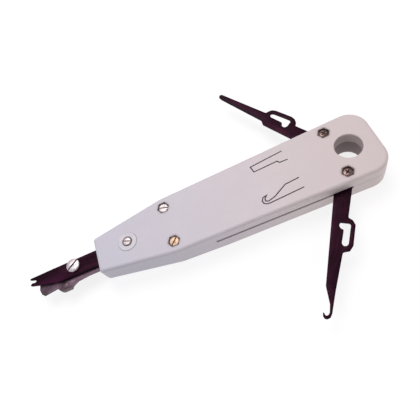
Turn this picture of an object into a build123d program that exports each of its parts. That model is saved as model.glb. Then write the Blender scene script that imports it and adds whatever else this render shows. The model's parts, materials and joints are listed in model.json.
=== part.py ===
from build123d import *
import math
import os

os.makedirs("parts", exist_ok=True)

# Insertion (punch-down) tool with a sprung nose, a wire cutter and two fold-out blades.
# Millimetres. The origin is on the axis of the hanging hole, at the resting face.
# X runs along the handle with the nose towards -X, +Y is the knife side, +Z is up.

# ---- handle ----
BODY_H = 15.0
SPLIT_Z = 9.0
WALL = 2.2
SKIN = 2.0
REAR_X = 13.6
KINK_X = -91.0
FRONT_X = -128.9
REAR_HALF_W = 17.8
KINK_HALF_W = 15.2
FRONT_HALF_W = 9.05
REAR_CORNER_R = 9.5
KINK_R = 14.0
FRONT_CORNER_R = 2.8
TOP_EDGE_R = 1.5
BOTTOM_EDGE_R = 2.0
TAPER_X = -68.0
FRONT_LIFT = 3.8
FRONT_DRAFT = 1.0
BEVEL_TOP_Z = 12.0
BEVEL_IN = 4.8
REAR_SOLID_X = -2.0
HOLE_R = 6.4
HOLE_BOSS_R = 8.6
HOLE_RIM_R = 0.45

# ---- pivots and screws ----
PIVOT_X = -6.5
PIVOT_Y = 12.0
SCREW_X = -90.4
SCREW_Y = 9.5
SHANK_R = 1.25
SHANK_BORE_R = 1.35
HEAD_R = 2.4
HEAD_H = 1.5
HEX_POCKET_R = 3.15
HEX_POCKET_DEPTH = 1.7
NUT_R = 2.7
NUT_H = 1.9
BOSS_R = 4.2
POST_R = 3.4
BUSH_R = 2.0
RUNNING_FIT = 0.05

# ---- fold-out blades ----
BLADE_T = 1.0
SLOT_GAP = 0.3
BLADE_Z = SPLIT_Z - BLADE_T / 2
SLOT_Z0 = BLADE_Z - SLOT_GAP
SLOT_Z1 = BLADE_Z + BLADE_T + SLOT_GAP
TANG_R = 4.5
HOOK_ANGLE = -123.0
KNIFE_ANGLE = 124.0
SLOT_FRONT_X = -72.6

# ---- nose ----
NOSE_Z = 9.4
NOSE_T = 1.5
JAW_Z = 6.4
JAW_T = 2.7
NOSE_PIVOT_X = -141.9
NOSE_PIVOT_Y = 2.0
NOSE_PIN_R = 1.8
NOSE_HEAD_R = 3.4
STROKE = 4.0
JAW_CLOSE_DEG = 8.0

# ---- cam that works the cutter ----
CAM_PLATE_Z = 5.15

# ---- lock dial ----
LOCK_X = -111.6
DIAL_R = 4.65
DIAL_RECESS_R = 4.75
STEM_R = 1.7

# ---- drive spring ----
SPRING_Z = 9.0
SPRING_R = 2.6
SPRING_WIRE_R = 0.4
SPRING_FRONT_X = -103.0
SPRING_BACK_X = -78.0
SPRING_TURNS = 8


def handle_outline(z, inset):
    """Plan outline of the handle at height z, or of its hollow when an inset is given."""
    with BuildSketch(Plane.XY.offset(z)) as outline:
        with BuildLine():
            Polyline(
                (REAR_X, REAR_HALF_W),
                (KINK_X, KINK_HALF_W),
                (FRONT_X, FRONT_HALF_W),
                (FRONT_X, -FRONT_HALF_W),
                (KINK_X, -KINK_HALF_W),
                (REAR_X, -REAR_HALF_W),
                close=True,
            )
        make_face()
        fillet(outline.vertices().group_by(Axis.X)[-1], REAR_CORNER_R)
        kinks = outline.vertices().filter_by(lambda v: abs(v.X - KINK_X) < 0.1)
        fillet(kinks, KINK_R)
        fillet(outline.vertices().group_by(Axis.X)[0], FRONT_CORNER_R)
        if inset:
            # the hollow stops short of the rear, which is moulded solid
            offset(amount=-inset)
            with Locations((REAR_SOLID_X + 15, 0)):
                Rectangle(30, 60, mode=Mode.SUBTRACT)
    return outline.sketch


def underside_wedge(lift):
    """Wedge below the front underside, raised by lift above the outer skin."""
    with BuildPart() as wedge:
        with BuildSketch(Plane.XZ):
            with BuildLine():
                Polyline(
                    (TAPER_X, lift),
                    (FRONT_X - 10, lift + FRONT_LIFT * (TAPER_X - FRONT_X + 10) / (TAPER_X - FRONT_X)),
                    (FRONT_X - 10, -10),
                    (TAPER_X, -10),
                    close=True,
                )
            make_face()
        extrude(amount=40, both=True)
    return wedge.part


def rear_bevel():
    """Wedge behind the rear wall, which leans in towards the underside."""
    with BuildPart() as wedge:
        with BuildSketch(Plane.XZ):
            with BuildLine():
                Polyline(
                    (REAR_X, BEVEL_TOP_Z),
                    (REAR_X - BEVEL_IN * (BEVEL_TOP_Z + 2) / BEVEL_TOP_Z, -2),
                    (REAR_X + 10, -2),
                    (REAR_X + 10, BEVEL_TOP_Z),
                    close=True,
                )
            make_face()
        extrude(amount=40, both=True)
    return wedge.part


def front_bevel():
    """Wedge ahead of the upper front wall, which leans back towards the top."""
    with BuildPart() as wedge:
        with BuildSketch(Plane.XZ):
            with BuildLine():
                Polyline(
                    (FRONT_X, SPLIT_Z),
                    (FRONT_X + FRONT_DRAFT * (BODY_H + 2 - SPLIT_Z) / (BODY_H - SPLIT_Z), BODY_H + 2),
                    (FRONT_X - 10, BODY_H + 2),
                    (FRONT_X - 10, SPLIT_Z),
                    close=True,
                )
            make_face()
        extrude(amount=40, both=True)
    return wedge.part


def at(pivot, angle, side, s, n):
    """Point s along a blade and n towards its finger-loop side, in plan."""
    a = math.radians(angle)
    return (
        pivot[0] + s * math.cos(a) - side * n * math.sin(a),
        pivot[1] + s * math.sin(a) + side * n * math.cos(a),
    )


HOOK_PIVOT = (PIVOT_X, -PIVOT_Y)
KNIFE_PIVOT = (PIVOT_X, PIVOT_Y)


def hook_pt(s, n):
    return at(HOOK_PIVOT, HOOK_ANGLE, 1, s, n)


def knife_pt(s, n):
    return at(KNIFE_PIVOT, KNIFE_ANGLE, -1, s, n)


def blade_sweep(z, height):
    """Space between the shells that the two folding blades move through."""
    with BuildPart() as space:
        with BuildSketch(Plane.XY.offset(z)):
            with BuildLine():
                Polyline(
                    (SLOT_FRONT_X, -6.4),
                    (SLOT_FRONT_X, -24),
                    hook_pt(16, 3.0),
                    hook_pt(2.0, 3.0),
                    (-10.0, -6.4),
                    close=True,
                )
            make_face()
            with BuildLine():
                Polyline(
                    (SLOT_FRONT_X, 5.2),
                    (SLOT_FRONT_X, 24),
                    knife_pt(16, 1.6),
                    knife_pt(6.8, 1.5),
                    knife_pt(3.2, 3.6),
                    (-10.0, 5.2),
                    close=True,
                )
            make_face()
            with Locations(HOOK_PIVOT, KNIFE_PIVOT):
                Circle(TANG_R + 0.45)
        extrude(amount=height)
    return space.part


SCREW_SPOTS = [(SCREW_X, SCREW_Y), (SCREW_X, -SCREW_Y)]
PIVOT_SPOTS = [KNIFE_PIVOT, HOOK_PIVOT]
RIB_YS = (-4.4, 4.4)

# ---- upper shell ----
with BuildPart() as upper_shell:
    add(handle_outline(SPLIT_Z, 0))
    extrude(amount=BODY_H - SPLIT_Z)
    add(rear_bevel(), mode=Mode.SUBTRACT)
    add(front_bevel(), mode=Mode.SUBTRACT)
    fillet(upper_shell.faces().sort_by(Axis.Z)[-1].edges(), TOP_EDGE_R)
    add(handle_outline(SPLIT_Z, WALL))
    extrude(amount=BODY_H - SKIN - SPLIT_Z, mode=Mode.SUBTRACT)
    # bosses round the hanging hole, the pivots and the front screws
    with BuildSketch(Plane.XY.offset(SPLIT_Z)):
        Circle(HOLE_BOSS_R)
        with Locations(*PIVOT_SPOTS):
            Circle(BOSS_R)
        with Locations(*SCREW_SPOTS):
            Circle(POST_R)
        with Locations(*[(-52.5, y) for y in RIB_YS]):
            Rectangle(91, 1.2)
        with Locations((SPRING_BACK_X + 3.1, 0)):
            Rectangle(1.4, 8.0)
    extrude(amount=BODY_H - SKIN - SPLIT_Z)
    # boss that carries the lock dial
    with BuildSketch(Plane.XY.offset(12.9)):
        with Locations((LOCK_X, 0)):
            Circle(5.6)
    extrude(amount=0.4)
    # recess of the dial and bore of its stem
    with BuildSketch(Plane.XY.offset(BODY_H)):
        with Locations((LOCK_X, 0)):
            Circle(DIAL_RECESS_R)
    extrude(amount=-0.5, mode=Mode.SUBTRACT)
    with BuildSketch(Plane.XY.offset(BODY_H)):
        with Locations((LOCK_X, 0)):
            Circle(STEM_R + RUNNING_FIT)
    extrude(amount=-4, mode=Mode.SUBTRACT)
    # hanging hole
    with BuildSketch(Plane.XY.offset(SPLIT_Z)):
        Circle(HOLE_R)
    extrude(amount=10, mode=Mode.SUBTRACT)
    rim = upper_shell.edges().filter_by(GeomType.CIRCLE).filter_by(
        lambda e: abs(e.radius - HOLE_R) < 0.01 and e.center().Z > BODY_H - 0.1
    )
    fillet(rim, HOLE_RIM_R)
    # hexagonal head pockets and screw bores
    with BuildSketch(Plane.XY.offset(BODY_H)):
        with Locations(*SCREW_SPOTS, *PIVOT_SPOTS):
            RegularPolygon(HEX_POCKET_R, 6)
    extrude(amount=-HEX_POCKET_DEPTH, mode=Mode.SUBTRACT)
    with BuildSketch(Plane.XY.offset(BODY_H)):
        with Locations(*SCREW_SPOTS, *PIVOT_SPOTS):
            Circle(SHANK_BORE_R)
    extrude(amount=-8, mode=Mode.SUBTRACT)
    # room for the blades, and the window that the nose slides through
    add(blade_sweep(SPLIT_Z, SLOT_Z1 - SPLIT_Z), mode=Mode.SUBTRACT)
    with Locations((FRONT_X, -0.9, 10.1)):
        Box(8, 13.4, 2.4, mode=Mode.SUBTRACT)
    # two engraved outlines that show which blade is on which side
    with BuildSketch(Plane.XY.offset(BODY_H)):
        with BuildLine() as knife_mark:
            Polyline((-27.8, 12.1), (-44.5, 10.7), (-43.9, 7.4), (-32.0, 7.8), (-31.2, 6.6), (-27.2, 6.5))
        trace(line_width=0.6)
        with BuildLine() as hook_mark:
            Polyline((-26.7, -4.9), (-33.7, -5.4), (-40.2, -9.1), (-43.6, -10.0), (-44.9, -9.4))
            Polyline((-44.9, -9.4), (-44.7, -8.1), (-43.5, -6.9), (-45.3, -7.2), (-46.3, -8.8))
            Polyline((-46.3, -8.8), (-46.0, -10.2), (-44.8, -11.0), (-43.2, -11.2), (-26.6, -10.5))
        trace(line_width=0.6)
    extrude(amount=-0.2, mode=Mode.SUBTRACT)
upper_shell.part.label = "upper_shell"
export_step(upper_shell.part, "parts/upper_shell.step")

# ---- lower shell ----
with BuildPart() as lower_shell:
    add(handle_outline(0, 0))
    extrude(amount=SPLIT_Z)
    add(underside_wedge(0), mode=Mode.SUBTRACT)
    add(rear_bevel(), mode=Mode.SUBTRACT)
    down = lower_shell.faces().filter_by(lambda f: f.normal_at().Z < -0.9)
    low_edges = [
        e
        for e in down.edges()
        if not (abs(e.center().X - TAPER_X) < 0.1 and e.length > 20)
    ]
    fillet(low_edges, BOTTOM_EDGE_R)
    # tray-like hollow whose floor follows the underside
    with BuildPart(mode=Mode.PRIVATE) as hollow:
        add(handle_outline(SKIN, WALL))
        extrude(amount=SPLIT_Z)
        add(underside_wedge(SKIN), mode=Mode.SUBTRACT)
    add(hollow.part, mode=Mode.SUBTRACT)
    # bosses, spine ribs and pads, standing on the floor
    with BuildPart(mode=Mode.PRIVATE) as inside:
        with BuildSketch(Plane.XY.offset(0.5)):
            Circle(HOLE_BOSS_R)
            with Locations(*PIVOT_SPOTS):
                Circle(BOSS_R)
            with Locations(*SCREW_SPOTS):
                Circle(POST_R)
            with Locations(*[(-52.5, y) for y in RIB_YS]):
                Rectangle(91, 1.2)
            with Locations((SPRING_BACK_X + 3.1, 0)):
                Rectangle(1.4, 8.0)
        extrude(amount=SPLIT_Z - 0.5)
        add(underside_wedge(0.5), mode=Mode.SUBTRACT)
    add(inside.part)
    # pad under the cam plate
    with BuildPart(mode=Mode.PRIVATE) as pad:
        with BuildSketch(Plane.XY.offset(CAM_PLATE_Z - 2.2)):
            with Locations((LOCK_X, -4.6)):
                Rectangle(11.6, 9.2)
        extrude(amount=2.2)
        add(underside_wedge(0.6), mode=Mode.SUBTRACT)
    add(pad.part)
    # hanging hole
    with BuildSketch(Plane.XY.offset(-1)):
        Circle(HOLE_R)
    extrude(amount=12, mode=Mode.SUBTRACT)
    rim = lower_shell.edges().filter_by(GeomType.CIRCLE).filter_by(
        lambda e: abs(e.radius - HOLE_R) < 0.01 and e.center().Z < 0.1
    )
    fillet(rim, HOLE_RIM_R)
    # hexagonal nut pockets and screw bores
    with BuildSketch(Plane.XY.offset(-1)):
        with Locations(*PIVOT_SPOTS):
            RegularPolygon(NUT_R + 0.15, 6)
    extrude(amount=1 + 3.0, mode=Mode.SUBTRACT)
    with BuildSketch(Plane.XY.offset(-1)):
        with Locations(*SCREW_SPOTS):
            RegularPolygon(NUT_R + 0.15, 6)
    extrude(amount=1 + 4.0, mode=Mode.SUBTRACT)
    with BuildSketch(Plane.XY.offset(-1)):
        with Locations(*SCREW_SPOTS, *PIVOT_SPOTS):
            Circle(SHANK_BORE_R)
    extrude(amount=12, mode=Mode.SUBTRACT)
    # room for the blades and their washers, and the lower half of the nose window
    add(blade_sweep(SLOT_Z0, SPLIT_Z - SLOT_Z0 + 1), mode=Mode.SUBTRACT)
    with BuildSketch(Plane.XY.offset(7.6)):
        with Locations(*PIVOT_SPOTS):
            Circle(BOSS_R + 0.2)
    extrude(amount=2, mode=Mode.SUBTRACT)
    with Locations((FRONT_X, -0.9, 7.6)):
        Box(8, 13.4, 3.2, mode=Mode.SUBTRACT)
lower_shell.part.label = "lower_shell"
export_step(lower_shell.part, "parts/lower_shell.step")

# ---- hook blade ----
with BuildPart() as hook_blade:
    with BuildSketch(Plane.XY.offset(BLADE_Z)):
        with Locations(HOOK_PIVOT):
            Circle(TANG_R)
        with BuildLine():
            right = [(0, 2.65), (20.0, 2.4), (20.9, 4.3), (23.0, 5.7), (32.6, 5.7), (35.2, 4.6), (36.2, 1.8)]
            right += [(44.0, 1.3), (53.0, 0.8), (62.6, 0.5)]
            bend = [(64.2, 0.1), (65.1, -1.0), (65.1, -2.1), (64.2, -2.9), (62.8, -3.1)]
            back = [(62.7, -2.6), (63.6, -2.1), (63.8, -1.5), (63.2, -0.8), (62.2, -0.5), (59.0, -0.8)]
            left = [(51.7, -3.3), (9.9, -5.0), (0, -4.5)]
            Polyline(*[hook_pt(s, n) for s, n in right + bend + back + left], close=True)
        make_face()
        # finger-loop window with its side notch
        with BuildLine():
            window = [(22.6, -0.6), (22.6, 3.3), (23.3, 3.8), (32.3, 3.7), (33.4, 2.9), (33.3, 1.6)]
            window += [(32.2, 0.9), (25.9, 1.1), (25.5, -0.2), (24.4, -0.9), (23.2, -1.0)]
            Polyline(*[hook_pt(s, n) for s, n in window], close=True)
        make_face(mode=Mode.SUBTRACT)
        with Locations(HOOK_PIVOT):
            Circle(BUSH_R + RUNNING_FIT, mode=Mode.SUBTRACT)
    extrude(amount=BLADE_T)
hook_blade.part.label = "hook_blade"
export_step(hook_blade.part, "parts/hook_blade.step")

# ---- knife blade ----
with BuildPart() as knife_blade:
    with BuildSketch(Plane.XY.offset(BLADE_Z)):
        with Locations(KNIFE_PIVOT):
            Circle(TANG_R)
        with BuildLine():
            outer = [(2.8, 3.1), (6.4, 1.0), (16.6, 1.2), (17.3, 3.2), (19.0, 4.7), (21.2, 5.3), (30.6, 5.2)]
            outer += [(32.6, 4.6), (33.7, 3.4), (34.5, 1.7)]
            tip = [(63.6, 1.9), (64.5, 1.4), (64.7, 0.5), (64.2, -0.4), (61.8, -1.1)]
            inner = [(33.9, -3.5), (31.9, -5.2), (14.0, -6.3), (0, -4.5)]
            Polyline(*[knife_pt(s, n) for s, n in outer + tip + inner], close=True)
        make_face()
        with BuildLine():
            window = [(20.0, -0.4), (20.0, 2.4), (21.2, 3.2), (30.4, 3.1), (31.8, 2.6), (31.8, 1.4)]
            window += [(30.6, 0.5), (23.6, 0.1), (23.0, -1.4), (21.6, -2.1), (20.4, -1.6)]
            Polyline(*[knife_pt(s, n) for s, n in window], close=True)
        make_face(mode=Mode.SUBTRACT)
        with Locations(KNIFE_PIVOT):
            Circle(BUSH_R + RUNNING_FIT, mode=Mode.SUBTRACT)
    extrude(amount=BLADE_T)
knife_blade.part.label = "knife_blade"
export_step(knife_blade.part, "parts/knife_blade.step")


def shank(x, y, z0, z1, r):
    """Plain round shank from z0 to z1."""
    with BuildPart() as round_bar:
        with BuildSketch(Plane.XY.offset(z0)):
            with Locations((x, y)):
                Circle(r)
        extrude(amount=z1 - z0)
    return round_bar.part


def hex_nut(name, x, y, z0, height, bore_r):
    """Hexagonal nut with chamfered corners left plain."""
    with BuildPart() as nut:
        with BuildSketch(Plane.XY.offset(z0)):
            with Locations((x, y)):
                RegularPolygon(NUT_R, 6)
                Circle(bore_r, mode=Mode.SUBTRACT)
        extrude(amount=height)
    nut.part.label = name
    export_step(nut.part, f"parts/{name}.step")


def ring(name, x, y, z0, height, inner_r, outer_r):
    """Washer or bush."""
    with BuildPart() as part:
        with BuildSketch(Plane.XY.offset(z0)):
            with Locations((x, y)):
                Circle(outer_r)
                Circle(inner_r, mode=Mode.SUBTRACT)
        extrude(amount=height)
    part.part.label = name
    export_step(part.part, f"parts/{name}.step")


HEAD_Z = BODY_H - HEX_POCKET_DEPTH
for side, y in (("left", 1), ("right", -1)):
    # front clamp screw: flat-topped slotted head
    with BuildPart() as front_screw:
        add(shank(SCREW_X, y * SCREW_Y, 2.4, HEAD_Z, SHANK_R))
        add(shank(SCREW_X, y * SCREW_Y, HEAD_Z, HEAD_Z + HEAD_H, HEAD_R))
        top = front_screw.faces().sort_by(Axis.Z)[-1]
        chamfer(top.edges(), 0.25)
        slot_angle = 162 if y > 0 else 46
        with BuildSketch(Plane.XY.offset(HEAD_Z + HEAD_H)):
            with Locations((SCREW_X, y * SCREW_Y)):
                Rectangle(5, 0.6, rotation=slot_angle)
        extrude(amount=-0.7, mode=Mode.SUBTRACT)
    front_screw.part.label = f"front_screw_{side}"
    export_step(front_screw.part, f"parts/front_screw_{side}.step")
    hex_nut(f"front_nut_{side}", SCREW_X, y * SCREW_Y, 4.0 - NUT_H, NUT_H, SHANK_R + 0.01)

    # pivot screw: cross-recessed head
    with BuildPart() as pivot_screw:
        add(shank(PIVOT_X, y * PIVOT_Y, 1.0, HEAD_Z, SHANK_R))
        add(shank(PIVOT_X, y * PIVOT_Y, HEAD_Z, HEAD_Z + HEAD_H, HEAD_R))
        top = pivot_screw.faces().sort_by(Axis.Z)[-1]
        chamfer(top.edges(), 0.3)
        with BuildSketch(Plane.XY.offset(HEAD_Z + HEAD_H)):
            with Locations((PIVOT_X, y * PIVOT_Y)):
                Rectangle(2.5, 0.6, rotation=30)
                Rectangle(2.5, 0.6, rotation=120)
        extrude(amount=-0.9, mode=Mode.SUBTRACT)
    pivot_screw.part.label = f"pivot_screw_{side}"
    export_step(pivot_screw.part, f"parts/pivot_screw_{side}.step")
    hex_nut(f"pivot_nut_{side}", PIVOT_X, y * PIVOT_Y, 3.0 - NUT_H, NUT_H, SHANK_R + 0.01)
    ring(f"pivot_bush_{side}", PIVOT_X, y * PIVOT_Y, 7.62, SLOT_Z1 - 7.64, SHANK_R + 0.02, BUSH_R)
    ring(f"pivot_washer_{side}", PIVOT_X, y * PIVOT_Y, 7.65, 0.6, BUSH_R + 0.05, 4.0)

# ---- sliding nose: forked insertion blade with its tang ----
with BuildPart() as insertion_blade:
    with BuildSketch(Plane.XY.offset(NOSE_Z)):
        with BuildLine():
            Polyline(
                (-106.0, 5.2),
                (-165.3, 5.1),
                (-165.6, 4.4),
                (-163.0, 3.5),
                (-162.2, 2.9),
                (-162.6, 2.1),
                (-164.6, 2.3),
                (-165.5, 1.9),
                (-165.4, 1.1),
                (-160.5, -0.4),
                (-155.2, -1.8),
                (-150.6, -3.1),
                (-120.0, -3.1),
                (-120.0, 3.2),
                (-106.0, 3.2),
                close=True,
            )
        make_face()
        with Locations((NOSE_PIVOT_X, NOSE_PIVOT_Y)):
            Circle(NOSE_PIN_R + 0.02, mode=Mode.SUBTRACT)
        with Locations((-122.2, 1.4), (-122.2, 4.0)):
            Circle(0.6, mode=Mode.SUBTRACT)
    extrude(amount=NOSE_T)
insertion_blade.part.label = "insertion_blade"
export_step(insertion_blade.part, "parts/insertion_blade.step")

# ---- carrier that holds the tang and slides inside the shells ----
with BuildPart() as blade_carrier:
    with BuildSketch(Plane.XY.offset(6.8)):
        with Locations((-122.0, 2.5)):
            Rectangle(4.0, 6.8)
        with Locations((-111.5, 4.55)):
            Rectangle(17.0, 2.7)
        with Locations((-105.0, 0)):
            Rectangle(4.0, 7.0)
    extrude(amount=NOSE_Z - 6.8)
    with BuildSketch(Plane.XY.offset(NOSE_Z + NOSE_T)):
        with Locations((-122.0, 2.5)):
            Rectangle(4.0, 6.8)
        with Locations((-111.5, 4.55)):
            Rectangle(17.0, 2.7)
        with Locations((-105.0, 0)):
            Rectangle(4.0, 7.0)
    extrude(amount=1.3)
    with BuildSketch(Plane.XY.offset(NOSE_Z)):
        with Locations((-111.5, 5.6)):
            Rectangle(17.0, 0.6)
        with Locations((-104.5, 0)):
            Rectangle(3.0, 7.0)
    extrude(amount=NOSE_T)
    # guide rod of the drive spring
    with BuildSketch(Plane.YZ.offset(-103.2)):
        with Locations((0, SPRING_Z)):
            Circle(1.5)
    extrude(amount=16.2)
    with BuildSketch(Plane.XY.offset(6)):
        with Locations((-122.2, 1.4), (-122.2, 4.0)):
            Circle(0.6)
    extrude(amount=8, mode=Mode.SUBTRACT)
blade_carrier.part.label = "blade_carrier"
export_step(blade_carrier.part, "parts/blade_carrier.step")

# ---- two pins through the carrier and the tang ----
with BuildPart() as tang_pins:
    with BuildSketch(Plane.XY.offset(6.8)):
        with Locations((-122.2, 1.4), (-122.2, 4.0)):
            Circle(0.58)
    extrude(amount=5.4)
tang_pins.part.label = "tang_pins"
export_step(tang_pins.part, "parts/tang_pins.step")

# ---- nose screw, its nut and the washer under the jaw ----
with BuildPart() as nose_screw:
    add(shank(NOSE_PIVOT_X, NOSE_PIVOT_Y, 4.3, NOSE_Z + NOSE_T, NOSE_PIN_R))
    add(shank(NOSE_PIVOT_X, NOSE_PIVOT_Y, NOSE_Z + NOSE_T, NOSE_Z + NOSE_T + 1.4, NOSE_HEAD_R))
    top = nose_screw.faces().sort_by(Axis.Z)[-1]
    fillet(top.edges(), 0.6)
    with BuildSketch(Plane.XY.offset(NOSE_Z + NOSE_T + 1.4)):
        with Locations((NOSE_PIVOT_X, NOSE_PIVOT_Y)):
            Rectangle(8, 0.8, rotation=34)
    extrude(amount=-0.8, mode=Mode.SUBTRACT)
nose_screw.part.label = "nose_screw"
export_step(nose_screw.part, "parts/nose_screw.step")
hex_nut("nose_nut", NOSE_PIVOT_X, NOSE_PIVOT_Y, 4.5, 1.3, NOSE_PIN_R + 0.01)
ring("nose_washer", NOSE_PIVOT_X, NOSE_PIVOT_Y, 5.82, 0.4, NOSE_PIN_R + 0.02, 3.0)

# ---- cutter jaw: a lever on the nose screw with its arm inside the handle ----
FOLLOWER = (-113.0, -2.8)
with BuildPart() as cutter_jaw:
    with BuildSketch(Plane.XY.offset(JAW_Z)):
        with Locations((NOSE_PIVOT_X, NOSE_PIVOT_Y)):
            Circle(3.1)
        with Locations(FOLLOWER):
            Circle(1.4)
        with BuildLine():
            Polyline(
                (-113.0, -1.4),
                (-134.5, -1.4),
                (-139.6, 4.1),
                (-144.2, 4.1),
                (-148.5, 1.4),
                (-161.4, 0.9),
                (-161.9, -2.2),
                (-161.0, -4.9),
                (-153.9, -4.1),
                (-152.6, -5.4),
                (-151.4, -7.0),
                (-146.3, -7.1),
                (-145.2, -6.0),
                (-142.6, -4.7),
                (-137.0, -4.2),
                (-113.0, -4.2),
                close=True,
            )
        make_face()
        with Locations((NOSE_PIVOT_X, NOSE_PIVOT_Y)):
            Circle(NOSE_PIN_R + RUNNING_FIT, mode=Mode.SUBTRACT)
    extrude(amount=JAW_T)
    # bent-down tab behind the cutting end
    with BuildSketch(Plane.XY.offset(5.4)):
        with Locations((-148.8, -5.9)):
            Rectangle(4.6, 2.0)
    extrude(amount=1.2)
    with BuildSketch(Plane.XY.offset(JAW_Z)):
        with Locations(FOLLOWER):
            Circle(0.9)
    extrude(amount=JAW_T, mode=Mode.SUBTRACT)
cutter_jaw.part.label = "cutter_jaw"
export_step(cutter_jaw.part, "parts/cutter_jaw.step")

# ---- follower pin in the arm ----
with BuildPart() as cam_follower:
    add(shank(FOLLOWER[0], FOLLOWER[1], CAM_PLATE_Z + 0.3, JAW_Z - 0.1, 0.9))
    add(shank(FOLLOWER[0], FOLLOWER[1], JAW_Z - 0.1, JAW_Z + JAW_T, 0.88))
cam_follower.part.label = "cam_follower"
export_step(cam_follower.part, "parts/cam_follower.step")

# ---- cam plate: its slanted track closes the jaw as the nose is pushed in ----
TRACK_END = (-109.95, -6.77)
with BuildPart() as cam_plate:
    with BuildSketch(Plane.XY.offset(CAM_PLATE_Z)):
        with Locations((LOCK_X + 1.0, -4.6)):
            Rectangle(10.6, 8.0)
        with BuildLine():
            Line(FOLLOWER, TRACK_END)
        trace(line_width=2.5, mode=Mode.SUBTRACT)
        with Locations(FOLLOWER, TRACK_END):
            Circle(1.25, mode=Mode.SUBTRACT)
    extrude(amount=0.9)
cam_plate.part.label = "cam_plate"
export_step(cam_plate.part, "parts/cam_plate.step")

# ---- lock dial, its screw and its cam ----
with BuildPart() as lock_dial:
    with BuildSketch(Plane.XY.offset(BODY_H - 0.4)):
        with Locations((LOCK_X, 0)):
            Circle(DIAL_R)
    extrude(amount=0.7)
    fillet(lock_dial.faces().sort_by(Axis.Z)[-1].edges(), 0.25)
    with BuildSketch(Plane.XY.offset(BODY_H - 0.4)):
        with Locations((LOCK_X, 0)):
            Circle(STEM_R)
    extrude(amount=-1.9)
    with BuildSketch(Plane.XY.offset(BODY_H + 0.3)):
        with Locations((LOCK_X, 0)):
            Circle(2.5)
    extrude(amount=-0.35, mode=Mode.SUBTRACT)
    with BuildSketch(Plane.XY.offset(10)):
        with Locations((LOCK_X, 0)):
            Circle(1.02)
    extrude(amount=8, mode=Mode.SUBTRACT)
lock_dial.part.label = "lock_dial"
export_step(lock_dial.part, "parts/lock_dial.step")

with BuildPart() as lock_screw:
    add(shank(LOCK_X, 0, 10.2, BODY_H - 0.05, 1.0))
    add(shank(LOCK_X, 0, BODY_H - 0.05, BODY_H + 0.75, 2.0))
    chamfer(lock_screw.faces().sort_by(Axis.Z)[-1].edges(), 0.2)
    with BuildSketch(Plane.XY.offset(BODY_H + 0.75)):
        with Locations((LOCK_X, 0)):
            Rectangle(5, 0.5, rotation=158)
    extrude(amount=-0.45, mode=Mode.SUBTRACT)
lock_screw.part.label = "lock_screw"
export_step(lock_screw.part, "parts/lock_screw.step")

with BuildPart() as lock_cam:
    with BuildSketch(Plane.XY.offset(10.1)):
        with Locations((LOCK_X, 0)):
            Circle(1.9)
        with Locations((LOCK_X + 0.7, 0)):
            Circle(1.8)
        with Locations((LOCK_X, 0)):
            Circle(1.01, mode=Mode.SUBTRACT)
    extrude(amount=2.5)
lock_cam.part.label = "lock_cam"
export_step(lock_cam.part, "parts/lock_cam.step")

# ---- drive spring round the guide rod, and the seat behind it ----
with BuildPart() as drive_spring:
    coil_x0 = SPRING_FRONT_X + SPRING_WIRE_R + 0.02
    coil_x1 = SPRING_BACK_X - SPRING_WIRE_R - 0.02
    with BuildLine() as coil:
        Helix(
            pitch=(coil_x1 - coil_x0) / SPRING_TURNS,
            height=coil_x1 - coil_x0,
            radius=SPRING_R,
            center=(coil_x0, 0, SPRING_Z),
            direction=(1, 0, 0),
        )
    with BuildSketch(Plane(origin=coil.line @ 0, z_dir=coil.line % 0)):
        Circle(SPRING_WIRE_R)
    sweep()
drive_spring.part.label = "drive_spring"
export_step(drive_spring.part, "parts/drive_spring.step")

with BuildPart() as spring_seat:
    with BuildSketch(Plane.YZ.offset(SPRING_BACK_X)):
        with Locations((0, 7.8)):
            Rectangle(7.4, 10.2)
    extrude(amount=2.4)
    with BuildSketch(Plane.YZ.offset(SPRING_BACK_X)):
        with Locations((0, SPRING_Z)):
            Circle(1.9)
    extrude(amount=1.2, mode=Mode.SUBTRACT)
spring_seat.part.label = "spring_seat"
export_step(spring_seat.part, "parts/spring_seat.step")
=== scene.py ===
import json
import math

import bmesh
import bpy
from mathutils import Matrix, Quaternion, Vector

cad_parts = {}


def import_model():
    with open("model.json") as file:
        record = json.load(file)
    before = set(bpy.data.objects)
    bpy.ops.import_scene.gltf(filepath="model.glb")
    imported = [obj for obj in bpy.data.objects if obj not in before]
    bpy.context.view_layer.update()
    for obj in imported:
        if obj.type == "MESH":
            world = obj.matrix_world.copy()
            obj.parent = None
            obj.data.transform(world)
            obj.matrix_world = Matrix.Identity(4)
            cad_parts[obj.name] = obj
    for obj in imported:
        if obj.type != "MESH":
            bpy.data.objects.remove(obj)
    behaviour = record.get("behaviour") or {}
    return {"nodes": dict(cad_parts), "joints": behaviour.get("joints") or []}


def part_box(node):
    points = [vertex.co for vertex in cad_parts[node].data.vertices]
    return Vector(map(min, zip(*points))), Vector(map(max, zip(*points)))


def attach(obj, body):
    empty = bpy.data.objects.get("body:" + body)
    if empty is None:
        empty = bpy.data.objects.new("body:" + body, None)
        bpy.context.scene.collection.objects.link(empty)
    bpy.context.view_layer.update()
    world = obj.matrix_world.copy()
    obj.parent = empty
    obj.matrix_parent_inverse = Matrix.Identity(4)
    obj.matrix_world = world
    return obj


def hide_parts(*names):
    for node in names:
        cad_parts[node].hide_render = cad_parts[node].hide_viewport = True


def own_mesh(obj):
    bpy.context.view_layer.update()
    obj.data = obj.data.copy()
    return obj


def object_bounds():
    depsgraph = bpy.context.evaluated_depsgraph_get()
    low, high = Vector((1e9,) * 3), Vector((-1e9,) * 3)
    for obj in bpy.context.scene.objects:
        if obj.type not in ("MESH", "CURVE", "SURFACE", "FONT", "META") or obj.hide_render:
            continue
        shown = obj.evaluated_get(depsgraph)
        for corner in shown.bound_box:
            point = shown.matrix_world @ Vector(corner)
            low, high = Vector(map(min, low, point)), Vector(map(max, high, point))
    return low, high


# Looks of an insertion tool: a two-part moulded handle, two fold-out blades, a forked nose and its cutter.
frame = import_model()
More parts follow.
